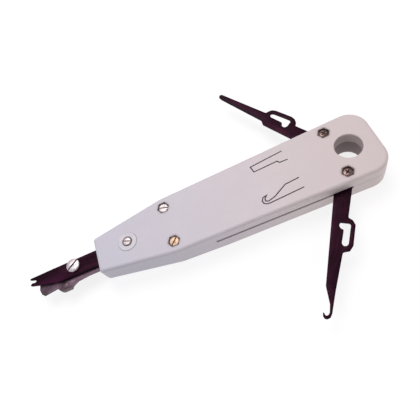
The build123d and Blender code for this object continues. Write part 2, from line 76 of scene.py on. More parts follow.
CAD_BOX = [list(corner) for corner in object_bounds()]
NODES = frame["nodes"]
MM = 0.001

# ---- places, from the frame ----
TOP_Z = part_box("upper_shell")[1].z
SPLIT_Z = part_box("upper_shell")[0].z
FRONT_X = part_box("upper_shell")[0].x
REAR_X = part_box("upper_shell")[1].x
PIVOTS = {j["name"]: Vector(j["pos_m"]) for j in frame["joints"] if j["type"] == "hinge"}

# ---- sizes that the CAD model has too ----
HOOK_ANGLE = math.radians(-123)
KNIFE_ANGLE = math.radians(124)
GROOVE_DEPTH = 0.2 * MM
POCKET_DEPTH = 1.7 * MM
HEAD_R = 2.38 * MM
SHANK_R = 1.24 * MM
NUT_BORE_R = 1.26 * MM

# ---- sizes of the details added here ----
PITCH = 0.45 * MM
THREAD_DEPTH = 0.13 * MM
ROWS_PER_TURN = 8
PLATE_EDGE = 0.12 * MM
BLADE_CORNER = 1.1 * MM
SHARP_ANGLE = math.radians(32)
# seat: share of the radius and height of the chamfer; power: how square the shoulder is; edge: rounding
SLOTTED = {"seat": (0.94, 0.08 * MM), "power": 0.55, "edge": 0.05 * MM}
CROSSED = {"seat": (0.95, 0.10 * MM), "power": 0.70, "edge": 0.04 * MM}

# ---- tolerances of the mesh work ----
WELD = 0.002 * MM
TOUCH = 1e-7
OVERLAP = 0.02 * MM


def middle(node):
    """Centre of a CAD node's box."""
    low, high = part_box(node)
    return (low + high) / 2


def unit(value):
    """The number, held between 0 and 1."""
    return min(1.0, max(0.0, value))


# ======================================================================
# Materials
# ======================================================================


class Look:
    """One procedural material, with short names for the nodes it is made of."""

    def __init__(self, name, metallic=0.0, roughness=0.5):
        self.material = bpy.data.materials.new(name)
        self.material.use_nodes = True
        self.tree = self.material.node_tree
        self.shader = self.tree.nodes["Principled BSDF"]
        self.shader.inputs["Metallic"].default_value = metallic
        self.shader.inputs["Roughness"].default_value = roughness
        self.where = self.node("ShaderNodeTexCoord").outputs["Object"]

    def node(self, kind, **settings):
        made = self.tree.nodes.new(kind)
        for key, value in settings.items():
            setattr(made, key, value)
        return made

    def set(self, socket, value):
        """Gives a socket a number, a vector or another node's output."""
        if isinstance(value, bpy.types.NodeSocket):
            self.tree.links.new(value, socket)
        else:
            socket.default_value = value

    def colour(self, value):
        self.set(self.shader.inputs["Base Color"], value)

    def roughness(self, value):
        self.set(self.shader.inputs["Roughness"], value)

    def math(self, operation, a, b=0.0):
        made = self.node("ShaderNodeMath", operation=operation)
        self.set(made.inputs[0], a)
        self.set(made.inputs[1], b)
        return made.outputs[0]

    def times(self, a, b):
        return self.math("MULTIPLY", a, b)

    def parts(self, vector):
        """The X, Y and Z outputs of a vector."""
        made = self.node("ShaderNodeSeparateXYZ")
        self.set(made.inputs[0], vector)
        return made.outputs

    def axis(self, letter):
        return self.parts(self.where)[letter]

    def turned(self, angle, scale):
        """Object coordinates turned to run along a blade, then stretched."""
        turn = self.node("ShaderNodeMapping")
        self.set(turn.inputs["Vector"], self.where)
        turn.inputs["Rotation"].default_value = (0, 0, -angle)
        stretch = self.node("ShaderNodeMapping")
        self.set(stretch.inputs["Vector"], turn.outputs[0])
        stretch.inputs["Scale"].default_value = scale
        return stretch.outputs[0]

    def noise(self, scale, detail, rough=0.5, vector=None):
        made = self.node("ShaderNodeTexNoise")
        self.set(made.inputs["Vector"], vector or self.where)
        made.inputs["Scale"].default_value = scale
        made.inputs["Detail"].default_value = detail
        made.inputs["Roughness"].default_value = rough
        return made.outputs["Fac"]

    def cells(self, scale):
        made = self.node("ShaderNodeTexVoronoi")
        self.set(made.inputs["Vector"], self.where)
        made.inputs["Scale"].default_value = scale
        return made.outputs["Distance"]

    def remap(self, value, low, high, to_low=0.0, to_high=1.0):
        """The value's smooth way from low to high, as a way from to_low to to_high."""
        made = self.node("ShaderNodeMapRange", interpolation_type="SMOOTHSTEP")
        for socket, number in zip(made.inputs, (value, low, high, to_low, to_high)):
            self.set(socket, number)
        return made.outputs[0]

    def mix(self, share, a, b):
        """Colour a, going over to colour b by share."""
        made = self.node("ShaderNodeMix", data_type="RGBA", blend_type="MIX")
        self.set(made.inputs["Factor"], share)
        for socket, value in ((made.inputs[6], a), (made.inputs[7], b)):
            self.set(socket, (*value, 1.0) if isinstance(value, tuple) else value)
        return made.outputs[2]

    def bump(self, height, distance, strength, under=None):
        made = self.node("ShaderNodeBump")
        self.set(made.inputs["Height"], height)
        made.inputs["Distance"].default_value = distance
        made.inputs["Strength"].default_value = strength
        if under:
            self.set(made.inputs["Normal"], under)
        self.set(self.shader.inputs["Normal"], made.outputs[0])
        return made.outputs[0]

    def upright(self):
        """1 on walls and on the cut edges of plates, 0 on faces that look up or down."""
        facing = self.parts(self.node("ShaderNodeTexCoord").outputs["Normal"])["Z"]
        return self.remap(self.math("ABSOLUTE", facing), 0.85, 0.45)

    def near(self, point, inner, outer):
        """1 within inner of a vertical line through point, falling to 0 at outer."""
        apart = self.node("ShaderNodeVectorMath", operation="SUBTRACT")
        self.set(apart.inputs[0], self.where)
        apart.inputs[1].default_value = (point[0], point[1], 0)
        flat = self.node("ShaderNodeVectorMath", operation="MULTIPLY")
        self.set(flat.inputs[0], apart.outputs[0])
        flat.inputs[1].default_value = (1, 1, 0)
        length = self.node("ShaderNodeVectorMath", operation="LENGTH")
        self.set(length.inputs[0], flat.outputs[0])
        return self.remap(length.outputs["Value"], inner, outer, 1.0, 0.0)

    def band(self, letter, at, half, soft):
        """1 within half of a height or distance along one axis, fading over soft."""
        off = self.math("ABSOLUTE", self.math("SUBTRACT", self.axis(letter), at))
        return self.remap(off, half, half + soft, 1.0, 0.0)


def plastic_grey(look, pale):
    """Colour of the bare moulding: cooler at the nose and warmer at the rear, with faint clouds."""
    along = look.remap(look.axis("X"), FRONT_X, REAR_X)
    base = look.mix(along, (0.560, 0.540, 0.610), (0.640, 0.545, 0.540))
    cloud = look.noise(38, 4, 0.6)
    base = look.mix(look.remap(cloud, 0.35, 0.7, 0.0, 0.16), base, (0.57, 0.47, 0.50))
    return look.mix(look.remap(pale, 0.5, 0.8, 0.0, 0.16), base, (0.74, 0.70, 0.73))


def plastic_scratches(look):
    """Fine scratches, mostly lengthways, where the handle is rubbed."""
    hair = look.noise(1.0, 2, 0.5, look.turned(math.radians(7), (90, 5200, 5200)))
    rubbed = look.remap(look.noise(30, 2), 0.5, 0.62)
    return look.times(look.remap(hair, 0.69, 0.75), rubbed)


def plastic_grime(look):
    """Dirt along the parting line, round the screw pockets and at the lower edge."""
    along = look.remap(look.axis("X"), FRONT_X + 20 * MM, REAR_X - 30 * MM, 0.05, 0.55)
    grime = look.times(look.band("Z", SPLIT_Z, 0.05 * MM, 0.22 * MM), along)
    for node in ("front_screw_left", "front_screw_right", "pivot_screw_left", "pivot_screw_right"):
        ring = look.near(middle(node), 3.0 * MM, 3.9 * MM)
        grime = look.math("MAXIMUM", grime, look.times(ring, 0.22))
    foot = look.remap(look.axis("Z"), 0.9 * MM, 0.0, 0.0, 0.28)
    return look.math("MAXIMUM", grime, look.times(foot, look.noise(500, 4)))


def bore_shade(look, lower):
    """Painted shade in the bore of the hanging hole, darkest in the lower shell."""
    bore = look.near((0, 0), 6.9 * MM, 7.4 * MM)
    low, high = (0.3 * MM, 1.2 * MM) if lower else (TOP_Z - 0.2 * MM, TOP_Z - 0.9 * MM)
    inside = look.times(bore, look.remap(look.axis("Z"), low, high))
    return look.times(inside, 0.80 if lower else 0.28)


def moulded_plastic(name, lower):
    """Spark-eroded light grey ABS, handled and a little soiled; walls and hanging hole carry painted
    shade.
    """
    look = Look(name)
    pale = look.noise(95, 5, 0.65)
    scratch = plastic_scratches(look)
    base = look.mix(look.times(scratch, 0.3), plastic_grey(look, pale), (0.45, 0.41, 0.44))
    # upright walls painted a little darker towards the nose: painted shade
    wall_shade = look.remap(look.axis("X"), REAR_X - 60 * MM, FRONT_X, 0.0, 0.42)
    base = look.mix(look.times(look.upright(), wall_shade), base, (0.36, 0.35, 0.42))
    # specks moulded into the plastic
    base = look.mix(look.remap(look.cells(420), 0.03, 0.08, 0.5, 0.0), base, (0.36, 0.32, 0.33))
    base = look.mix(plastic_grime(look), base, (0.150, 0.115, 0.120))
    # painted shade in the bore of the hanging hole
    look.colour(look.mix(bore_shade(look, lower), base, (0.115, 0.058, 0.060)))
    fine = look.noise(2400, 2, 0.6)
    look.roughness(look.remap(look.math("ADD", fine, pale), 0.6, 1.4, 0.40, 0.56))
    swell = look.bump(look.noise(170, 2, 0.4), 0.05 * MM, 0.35)
    grain = look.bump(fine, 0.016 * MM, 0.6, swell)
    look.bump(scratch, 0.01 * MM, -0.5, grain)
    return look.material


def blackened_steel(name, angle, side_shade=0.8, bloom=0.0):
    """Chemically blackened steel with a purple cast, rubbed lengthways.

    The third argument is how dark its upright walls and edges are painted, as painted shade; bloom how
    purple the nose's end is.
    """
    look = Look(name, metallic=0.9)
    look.shader.inputs["Specular IOR Level"].default_value = 0.1
    cast = look.remap(look.noise(70, 5, 0.6), 0.3, 0.7)
    tint = look.mix(cast, (0.026, 0.0065, 0.0145), (0.014, 0.0040, 0.0090))
    brushed = look.noise(1.0, 3, 0.55, look.turned(angle, (60, 2600, 900)))
    tint = look.mix(look.remap(brushed, 0.52, 0.78, 0.0, 0.4), tint, (0.040, 0.015, 0.026))
    blotch = look.noise(240, 5, 0.7)
    tint = look.mix(look.remap(blotch, 0.60, 0.74, 0.0, 0.4), tint, (0.040, 0.024, 0.031))
    # a stronger purple along the lower side of the nose's end
    low = look.remap(look.axis("Y"), 2.6 * MM, -1.0 * MM, 0.0, bloom)
    ahead = look.remap(look.axis("X"), FRONT_X - 14 * MM, FRONT_X - 24 * MM)
    tint = look.mix(look.times(low, ahead), tint, (0.060, 0.010, 0.038))
    # painted shade: upright walls and edges painted near-black
    tint = look.mix(look.times(look.upright(), side_shade), tint, (0.008, 0.005, 0.006))
    look.colour(tint)
    look.roughness(look.remap(look.math("ADD", brushed, blotch), 0.6, 1.4, 0.34, 0.58))
    pits = look.bump(look.noise(1500, 4, 0.65), 0.01 * MM, 0.5)
    look.bump(brushed, 0.008 * MM, 0.6, pits)
    return look.material


def ground_steel(name, angle):
    """Freshly ground cutting bevel, streaked across the edge."""
    look = Look(name, metallic=1.0)
    streak = look.noise(1.0, 3, 0.6, look.turned(angle + math.pi / 2, (120, 4200, 900)))
    look.colour(look.mix(look.remap(streak, 0.35, 0.7), (0.006, 0.003, 0.005), (0.014, 0.008, 0.011)))
    look.roughness(look.remap(streak, 0.3, 0.7, 0.24, 0.42))
    look.bump(streak, 0.010 * MM, 0.8)
    return look.material


def cutter_steel(name):
    """Bare hardened steel of the jaw: purple-grey, mottled from heat treatment."""
    look = Look(name, metallic=0.8)
    stained = (0.045, 0.026, 0.034)
    heat = look.noise(160, 5, 0.62)
    tint = look.mix(look.remap(heat, 0.32, 0.68), (0.150, 0.086, 0.122), (0.250, 0.178, 0.218))
    stain = look.noise(480, 5, 0.7)
    tint = look.mix(look.remap(stain, 0.56, 0.72, 0.0, 0.7), tint, stained)
    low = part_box("cutter_jaw")[0]
    tab = look.near((low.x + 13.5 * MM, low.y + 1.2 * MM), 1.6 * MM, 4.2 * MM)
    tint = look.mix(look.times(tab, 0.7), tint, (0.070, 0.044, 0.050))
    # burnt darker towards the cutting end; its walls at the tip are painted darker still, as painted shade
    end = look.remap(look.axis("X"), low.x + 14 * MM, low.x + 1 * MM)
    tint = look.mix(look.times(end, 0.55), tint, (0.060, 0.030, 0.045))
    grain = look.noise(1.0, 3, 0.6, look.turned(math.radians(78), (500, 2600, 900)))
    tint = look.mix(look.times(end, look.remap(grain, 0.45, 0.7, 0.0, 0.5)), tint, stained)
    # painted shade on the walls at the tip of the jaw
    tip = look.times(look.remap(look.axis("X"), low.x + 4 * MM, low.x + 2.5 * MM), look.upright())
    tint = look.mix(look.times(tip, 0.85), tint, (0.040, 0.028, 0.030))
    look.colour(tint)
    look.roughness(look.remap(look.math("ADD", heat, stain), 0.6, 1.4, 0.30, 0.55))
    pits = look.bump(look.noise(1300, 4, 0.7), 0.018 * MM, 0.6)
    rolled = look.noise(1.0, 2, 0.5, look.turned(0, (150, 3000, 900)))
    look.bump(rolled, 0.008 * MM, 0.5, pits)
    return look.material


def plain_metal(name, light, dark, roughness=(0.2, 0.42), scale=900):
    """Turned or stamped metal with fine tool marks and tarnish."""
    look = Look(name, metallic=1.0)
    tarnish = look.noise(scale, 4, 0.6)
    look.colour(look.mix(look.remap(tarnish, 0.42, 0.72), light, dark))
    look.roughness(look.remap(tarnish, 0.3, 0.7, *roughness))
    look.bump(look.noise(2600, 3, 0.6), 0.006 * MM, 0.6)
    return look.material


def marking_ink(name):
    """Dark filling of the engraved outlines, slightly broken up."""
    look = Look(name)
    broken = look.noise(1500, 3, 0.6)
    look.colour(look.mix(look.remap(broken, 0.45, 0.75), (0.045, 0.035, 0.040), (0.110, 0.090, 0.095)))
    look.roughness(look.remap(broken, 0.3, 0.7, 0.55, 0.8))
    look.bump(broken, 0.02 * MM, 0.5)
    return look.material


def dial_plastic(name):
    """Lock dial: the handle's plastic, with turning marks round its middle."""
    look = Look(name)
    centre = middle("lock_dial")
    rings = look.node("ShaderNodeTexWave", wave_type="RINGS", rings_direction="Z")
    shift = look.node("ShaderNodeMapping")
    look.set(shift.inputs["Vector"], look.where)
    shift.inputs["Location"].default_value = (-centre.x, -centre.y, 0)
    look.set(rings.inputs["Vector"], shift.outputs[0])
    rings.inputs["Scale"].default_value = 900
    rings.inputs["Distortion"].default_value = 0.6
    cloud = look.remap(look.noise(300, 4), 0.35, 0.7)
    look.colour(look.mix(cloud, (0.590, 0.565, 0.620), (0.665, 0.625, 0.660)))
    look.roughness(look.remap(look.noise(1800, 2), 0.3, 0.7, 0.40, 0.55))
    look.bump(rings.outputs["Fac"], 0.008 * MM, 0.4)
    return look.material


PLASTIC_UPPER = moulded_plastic("handle_plastic_upper", False)
PLASTIC_LOWER = moulded_plastic("handle_plastic_lower", True)
BLACK_HOOK = blackened_steel("blackened_steel_hook", HOOK_ANGLE)
BLACK_KNIFE = blackened_steel("blackened_steel_knife", KNIFE_ANGLE)
BLACK_NOSE = blackened_steel("blackened_steel_nose", 0.0, side_shade=0.0, bloom=0.5)
GROUND = ground_steel("ground_edge", KNIFE_ANGLE)
CUTTER = cutter_steel("cutter_steel")
BRIGHT = plain_metal("bright_steel", (0.74, 0.66, 0.69), (0.48, 0.41, 0.44), (0.36, 0.52))
DARK = plain_metal("dark_screw", (0.105, 0.080, 0.082), (0.035, 0.026, 0.028), (0.32, 0.5))
BROWN = plain_metal("brown_cup", (0.190, 0.140, 0.135), (0.080, 0.055, 0.055), (0.32, 0.5))
GLINT = plain_metal("dark_screw_head", (0.210, 0.145, 0.132), (0.085, 0.055, 0.050), (0.3, 0.5), 600)
# painted shade in the cross recesses of the pivot screw heads
RECESS_SHADE = plain_metal("cross_recess_shade", (0.040, 0.024, 0.024), (0.020, 0.012, 0.012), (0.5, 0.7))
# painted shade on the floors and walls of the screw slots
SLOT_SHADE = plain_metal("slot_painted_shade", (0.160, 0.120, 0.125), (0.060, 0.042, 0.046), (0.45, 0.65))
PALE = plain_metal("pale_screw", (0.66, 0.59, 0.58), (0.48, 0.42, 0.41), (0.46, 0.62))
BRASS = plain_metal("brass_screw", (0.62, 0.44, 0.32), (0.42, 0.27, 0.17), (0.5, 0.65))
SPRING = plain_metal("spring_steel", (0.45, 0.43, 0.42), (0.26, 0.24, 0.24))
CARRIER = plain_metal("carrier_steel", (0.28, 0.25, 0.26), (0.16, 0.13, 0.14), (0.35, 0.5))
INK = marking_ink("marking_ink")
DIAL = dial_plastic("dial_plastic")


# ======================================================================
# Mesh helpers
# ======================================================================


def link(data, name):
    made = bpy.data.objects.new(name, data)
    bpy.context.scene.collection.objects.link(made)
    return made


def finished(obj):
    """The object's mesh with its modifiers applied. The object itself goes."""
    depsgraph = bpy.context.evaluated_depsgraph_get()
    mesh = bpy.data.meshes.new_from_object(obj.evaluated_get(depsgraph))
    bpy.data.objects.remove(obj)
    return mesh


def piece(mesh, name, body, slot, *materials):
    """Puts a finished mesh in the scene, on its CAD body."""
    mesh.name = name
    made = link(mesh, name)
    for material in materials:
        mesh.materials.append(material)
    mesh.shade_smooth()
    mesh.set_sharp_from_angle(angle=SHARP_ANGLE)
    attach(made, body)
    return made


def detail(mesh, node, body, slot, *materials):
    """A piece that is shown in place of one CAD node."""
    made = piece(mesh, f"{node}_detail", body, slot, *materials)
    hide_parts(node)
    return made


def from_bmesh(bm):
    bmesh.ops.recalc_face_normals(bm, faces=bm.faces)
    mesh = bpy.data.meshes.new("shape")
    bm.to_mesh(mesh)
    bm.free()
    return mesh


def joined(*meshes):
    bm = bmesh.new()
    for mesh in meshes:
        bm.from_mesh(mesh)
    return from_bmesh(bm)


def bridge(bm, low, high):
    """Faces between two rings of points. Where a ring is one point they are triangles."""
    for k in range(len(low)):
        n = (k + 1) % len(low)
        corners = list(dict.fromkeys((low[k], low[n], high[n], high[k])))
        if len(corners) > 2:
            bm.faces.new(corners)


def tube(bm, rings):
    """Solid with a skin over a row of rings and a face at each end."""
    for low, high in zip(rings, rings[1:]):
        bridge(bm, low, high)
    bm.faces.new(rings[0])
    bm.faces.new(rings[-1])
    return from_bmesh(bm)


def circle(bm, centre, radius, height, steps):
    """Ring of points about the vertical line through centre, or one point on that line."""
    if radius < TOUCH:
        return [bm.verts.new((centre[0], centre[1], height))] * steps
    ring = []
    for k in range(steps):
        a = 2 * math.pi * k / steps
        x = centre[0] + radius * math.cos(a)
        y = centre[1] + radius * math.sin(a)
        ring.append(bm.verts.new((x, y, height)))
    return ring


def lathe(profile, centre, steps, closed=False):
    """Solid of revolution about the vertical line through centre, from its (radius, height) outline."""
    bm = bmesh.new()
    rings = [circle(bm, centre, radius, height, steps) for radius, height in profile]
    if closed:
        rings.append(rings[0])
    for low, high in zip(rings, rings[1:]):
        bridge(bm, low, high)
    return from_bmesh(bm)


def block(centre, size, angle, taper):
    """Cutter with a rectangular section, whose lower end is narrower by taper."""
    bm = bmesh.new()
    turn = Matrix.Translation(centre) @ Matrix.Rotation(angle, 4, "Z")
    bmesh.ops.create_cube(bm, size=1.0)
    for v in bm.verts:
        shrink = taper if v.co.z < 0 else 1.0
        v.co = turn @ Vector((v.co.x * size[0] * shrink, v.co.y * size[1] * shrink, v.co.z * size[2]))
    return from_bmesh(bm)


def combine(mesh, other, operation):
    """Boolean of two meshes, worked out in millimetres."""
    for shape in (mesh, other):
        shape.transform(Matrix.Scale(1 / MM, 4))
    obj, tool = link(mesh, "work"), link(other, "tool")
    modifier = obj.modifiers.new("boolean", "BOOLEAN")
    modifier.operation = operation
    modifier.object = tool
    modifier.solver = "EXACT"
    result = finished(obj)
    bpy.data.objects.remove(tool)
    result.transform(Matrix.Scale(MM, 4))
    return result


def softened(mesh, width, segments=2, angle=35):
    """The mesh with its edges rounded off where they are sharper than angle."""
    obj = link(mesh, "work")
    modifier = obj.modifiers.new("bevel", "BEVEL")
    modifier.width = width
    modifier.segments = segments
    modifier.limit_method = "ANGLE"
    modifier.angle_limit = math.radians(angle)
    modifier.use_clamp_overlap = True
    return finished(obj)


def welded(node):
    """A bmesh copy of a CAD node with its facets joined up."""
    bm = bmesh.new()
    bm.from_mesh(NODES[node].data)
    bmesh.ops.remove_doubles(bm, verts=bm.verts, dist=WELD)
    return bm


def outlines(node, height):
    """Plan outlines of a CAD node's flat face at a height: the outer one first, then its holes."""
    bm = welded(node)
    bm.verts.index_update()
    level = 0.02 * MM
    flat = {f for f in bm.faces if all(abs(v.co.z - height) < level for v in f.verts)}
    beside = {}
    for e in bm.edges:
        if sum(f in flat for f in e.link_faces) == 1:
            for v in e.verts:
                beside.setdefault(v, []).append(e.other_vert(v))
    loops, used = [], set()
    for start in sorted(beside, key=lambda v: v.index):
        loop, here = [], start
        while here not in used:
            used.add(here)
            loop.append(here.co.xy.copy())
            onward = [v for v in beside[here] if v not in used]
            here = onward[0] if onward else start
        if len(loop) > 2:
            loops.append(loop)
    bm.free()
    return sorted(loops, key=lambda loop: -abs(area(loop)))


def area(loop):
    return sum(a.x * b.y - b.x * a.y for a, b in zip(loop, loop[1:] + loop[:1])) / 2


def rounded(loop, radius):
    """The outline with its corners as short arcs. Stretches that are already round stay as they are."""
    straight, gentle, longest, steps = math.radians(179.4), math.radians(14), 0.46, 5
    corners = []
    for i, p in enumerate(loop):
        if (loop[i - 1] - p).angle(loop[(i + 1) % len(loop)] - p) < straight:
            corners.append(p)
    path = []
    for i, p in enumerate(corners):
        a, b = corners[i - 1] - p, corners[(i + 1) % len(corners)] - p
        turn = math.pi - a.angle(b)
        if turn < gentle:
            path.append(p)
            continue
        reach = min(radius * math.tan(turn / 2), longest * a.length, longest * b.length)
        start, end = p + a.normalized() * reach, p + b.normalized() * reach
        for k in range(steps + 1):
            t = k / steps
            path.append(start * (1 - t) ** 2 + p * (2 * t * (1 - t)) + end * t * t)
    return path


def plate(node, corner):
    """A stamped plate in a CAD node's place: the same outline with rounded corners and softened edges."""
    low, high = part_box(node)
    curve = bpy.data.curves.new("plate", "CURVE")
    curve.dimensions = "2D"
    curve.fill_mode = "BOTH"
    curve.extrude = (high.z - low.z) / 2 - PLATE_EDGE
    curve.bevel_depth = PLATE_EDGE
    curve.bevel_resolution = 2
    curve.offset = -PLATE_EDGE
    for i, loop in enumerate(outlines(node, high.z)):
        path = rounded(loop, corner)
        if (area(path) > 0) != (i == 0):
            path.reverse()
        spline = curve.splines.new("POLY")
        spline.points.add(len(path) - 1)
        for point, p in zip(spline.points, path):
            point.co = (p.x, p.y, 0, 1)
        spline.use_cyclic_u = True
    mesh = finished(link(curve, "work"))
    mesh.transform(Matrix.Translation((0, 0, (high.z + low.z) / 2)))
    bm = bmesh.new()
    bm.from_mesh(mesh)
    bmesh.ops.remove_doubles(bm, verts=bm.verts, dist=WELD)
    return bm


def thinned(bm, amount):
    """Scales the thickness at each point by amount(vertex), about the blade's middle plane."""
    heights = [v.co.z for v in bm.verts]
    mid = (min(heights) + max(heights)) / 2
    for v in bm.verts:
        v.co.z = mid + (v.co.z - mid) * amount(v)


def cut_line(bm, a, b):
    """Splits the faces along the vertical plane through two plan points."""
    run = Vector((b[0] - a[0], b[1] - a[1], 0)).normalized()
    normal = (-run.y, run.x, 0)
    everything = bm.verts[:] + bm.edges[:] + bm.faces[:]
    bmesh.ops.bisect_plane(bm, geom=everything, dist=TOUCH, plane_co=(a[0], a[1], 0), plane_no=normal)


# ======================================================================
# Screws and nuts
# ======================================================================


def threaded(node, radius, head_low, steps=28):
    """Helical thread from a screw's tip up into its head."""
    centre, low, high = middle(node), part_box(node)[0].z, head_low + OVERLAP
    rows = int((high - low) / PITCH * ROWS_PER_TURN)
    bm = bmesh.new()
    rings = []
    for j in range(rows + 1):
        z = low + (high - low) * j / rows
        # the tip is a little slimmer
        swell = 0.75 + 0.25 * min(1.0, (z - low) / PITCH + 0.2)
        ring = []
        for k in range(steps):
            a = 2 * math.pi * k / steps
            wave = abs(((z / PITCH - k / steps) % 1.0) * 2 - 1)
            r = (radius - THREAD_DEPTH * wave) * swell
            ring.append(bm.verts.new((centre.x + r * math.cos(a), centre.y + r * math.sin(a), z)))
        rings.append(ring)
    return tube(bm, rings)


def head_top(node):
    """The highest point of a screw's head."""
    centre = middle(node)
    return Vector((centre.x, centre.y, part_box(node)[1].z))


def turned_head(node, head_low, radius, rise, style, cutters):
    """Screw head with a chamfered seat and a domed top, cut by its slots."""
    shoulder = head_top(node).z - rise
    seat_share, seat_height = style["seat"]
    profile = [(0, head_low), (radius * seat_share, head_low)]
    profile += [(radius, head_low + seat_height), (radius, shoulder)]
    for k in range(1, 8):
        a = math.pi / 2 * k / 8
        profile.append((radius * math.cos(a) ** style["power"], shoulder + rise * math.sin(a)))
    profile.append((0, shoulder + rise))
    mesh = lathe(profile, middle(node), 64)
    for cutter in cutters:
        mesh = combine(mesh, cutter, "DIFFERENCE")
    mesh = softened(mesh, style["edge"])
    mark_recess(mesh, node, head_low, radius, rise, style["power"])
    return mesh


def mark_recess(mesh, node, head_low, radius, rise, power):
    """Gives the faces that are sunk below a head's dome the second material, the painted shade of its slot
    or cross recess.
    """
    top = head_top(node)
    for face in mesh.polygons:
        out = (face.center.xy - top.xy).length / radius
        dome = top.z - rise + rise * math.sin(math.acos(min(1.0, out ** (1 / power))))
        sunk = head_low + 0.05 * MM < face.center.z < dome - 0.07 * MM
        face.material_index = 1 if sunk and out < 0.95 else 0


def slotted_head(node, head_low, radius, rise, angle, slot):
    """Head with one slot, given as its width and depth, turned to an angle in degrees."""
    width, depth = slot
    cutter = block(head_top(node), (4 * radius, width, 2 * depth), math.radians(angle), 0.86)
    return turned_head(node, head_low, radius, rise, SLOTTED, [cutter])


def cross_head(node, head_low, radius):
    """Pan head with a tapering cross recess."""
    size = (1.45 * radius, 0.66 * MM, 2.0 * MM)
    arms = [block(head_top(node), size, math.radians(angle), 0.55) for angle in (30, -60)]
    return turned_head(node, head_low, radius, 0.62 * MM, CROSSED, arms)


def hex_nut(node, bore):
    """Nut with its corners chamfered top and bottom and a countersunk bore."""
    low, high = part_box(node)
    centre = middle(node)
    across = (high.x - low.x) / 2
    prism = lathe([(0, low.z), (across, low.z), (across, high.z), (0, high.z)], centre, 6)
    lift, wide, flat = 0.42 * MM, across * 1.01, across * 0.87
    barrel = [(0, low.z), (flat, low.z), (wide, low.z + lift)]
    barrel += [(wide, high.z - lift), (flat, high.z), (0, high.z)]
    nut = combine(prism, lathe(barrel, centre, 96), "INTERSECT")
    sink, past = 0.25 * MM, 0.1 * MM
    mouth = bore + sink + past
    drill = [(0, low.z - past), (mouth, low.z - past), (bore, low.z + sink)]
    drill += [(bore, high.z - sink), (mouth, high.z + past), (0, high.z + past)]
    return softened(combine(nut, lathe(drill, centre, 48), "DIFFERENCE"), 0.035 * MM, angle=25)


# ======================================================================
# Handle
# ======================================================================


def recolour(material, *nodes):
    """CAD nodes whose shape is right keep it, with a better finish."""
    for node in nodes:
        for held in NODES[node].material_slots:
            held.material = material


def in_groove(face, side):
    """Whether a face of the upper shell is the floor of a groove, on one side of the handle."""
    level = TOP_Z - GROOVE_DEPTH
    flat = all(abs(v.co.z - level) <= 0.01 * MM for v in face.verts)
    return flat and face.calc_center_median().y * side >= 0


def engraved_marks():
    """Ink lying in the grooves of the two engraved outlines."""
    for name, side in (("knife_mark_ink", 1), ("hook_mark_ink", -1)):
        bm = bmesh.new()
        bm.from_mesh(NODES["upper_shell"].data)
        away = [f for f in bm.faces if not in_groove(f, side)]
        bmesh.ops.delete(bm, geom=away, context="FACES")
        bmesh.ops.remove_doubles(bm, verts=bm.verts, dist=WELD)
        bmesh.ops.translate(bm, verts=bm.verts, vec=(0, 0, 0.9 * GROOVE_DEPTH))
        piece(from_bmesh(bm), name, "handle", "dark_screw", INK)


def pocket_liner(node, name, finish):
    """Dark hexagonal cup that the screw head sits in."""
    floor_z = TOP_Z - POCKET_DEPTH
    low, top, chamfer, lip = floor_z + 0.01 * MM, TOP_Z - 0.12 * MM, 0.12 * MM, 0.1 * MM
    outer, inner, clear = 3.12 * MM, 2.6 * MM, HEAD_R + 0.04 * MM
    profile = [(outer, low), (outer, top - chamfer), (outer - chamfer, top)]
    profile += [(inner + lip, top), (inner, top - lip), (inner, low)]
    cup = lathe(profile, middle(node), 6, closed=True)
    bore = [(0, floor_z - MM), (clear, floor_z - MM), (clear, TOP_Z), (0, TOP_Z)]
    cup = combine(cup, lathe(bore, middle(node), 64), "DIFFERENCE")
    piece(cup, name, "handle", "dark_screw", finish)


def handle_nut(node):
    detail(hex_nut(node, NUT_BORE_R), node, "handle", "dark_screw", DARK)


def handle_screws():
    """The four screws through the handle, their nuts, pockets and threads."""
    head_low = TOP_Z - POCKET_DEPTH
    sides = (("left", "bright_steel", PALE, -18), ("right", "brass_screw", BRASS, 46))
    for side, slot, finish, angle in sides:
        front, pivot = f"front_screw_{side}", f"pivot_screw_{side}"
        head = slotted_head(front, head_low, HEAD_R, 0.37 * MM, angle, (0.5 * MM, 0.6 * MM))
        screw = joined(head, threaded(front, SHANK_R, head_low))
        detail(screw, front, "handle", slot, finish, SLOT_SHADE)
        pocket_liner(front, f"front_pocket_{side}", DARK)
        handle_nut(f"front_nut_{side}")
        screw = joined(cross_head(pivot, head_low, HEAD_R), threaded(pivot, SHANK_R, head_low))
        detail(screw, pivot, "handle", "dark_screw", GLINT, RECESS_SHADE)
        pocket_liner(pivot, f"pivot_pocket_{side}", BROWN)
        handle_nut(f"pivot_nut_{side}")


def coil(node, wire, turns, dead):
    """Spring along X in a CAD node's box, of a wire of that radius, wound closed over its dead turns."""
    low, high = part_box(node)
    mid = middle(node)
    radius = (high.z - low.z) / 2 - wire
    start, end = low.x + wire, high.x - wire
    # closed turns lie just over one wire's thickness apart
    closed = dead * 2.1 * wire
    per_turn, sides = 30, 10
    steps = int(turns * per_turn)
    bm = bmesh.new()
    rings = []
    for k in range(steps + 1):
        turn = turns * k / steps
        lead = min(turn, dead) / dead * closed
        live = unit((turn - dead) / (turns - 2 * dead)) * (end - start - 2 * closed)
        tail = max(0.0, turn - (turns - dead)) / dead * closed
        a = 2 * math.pi * turn
        outward = Vector((0, math.cos(a), math.sin(a)))
        centre = Vector((start + lead + live + tail, mid.y, mid.z)) + outward * radius
        ring = []
        for j in range(sides):
            b = 2 * math.pi * j / sides
            off = outward * (wire * math.cos(b)) + Vector((wire * math.sin(b), 0, 0))
            ring.append(bm.verts.new(centre + off))
        rings.append(ring)
    return tube(bm, rings)


def drive_spring():
    """Coil with closed ends, on a mesh of its own; the real spring shortens as the nose is pushed in."""
    node = "drive_spring"
    made = detail(coil(node, 0.4 * MM, 9.5, 1.25), node, "handle", "spring_steel", SPRING)
    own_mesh(made)


# ======================================================================
# Folding blades
# ======================================================================


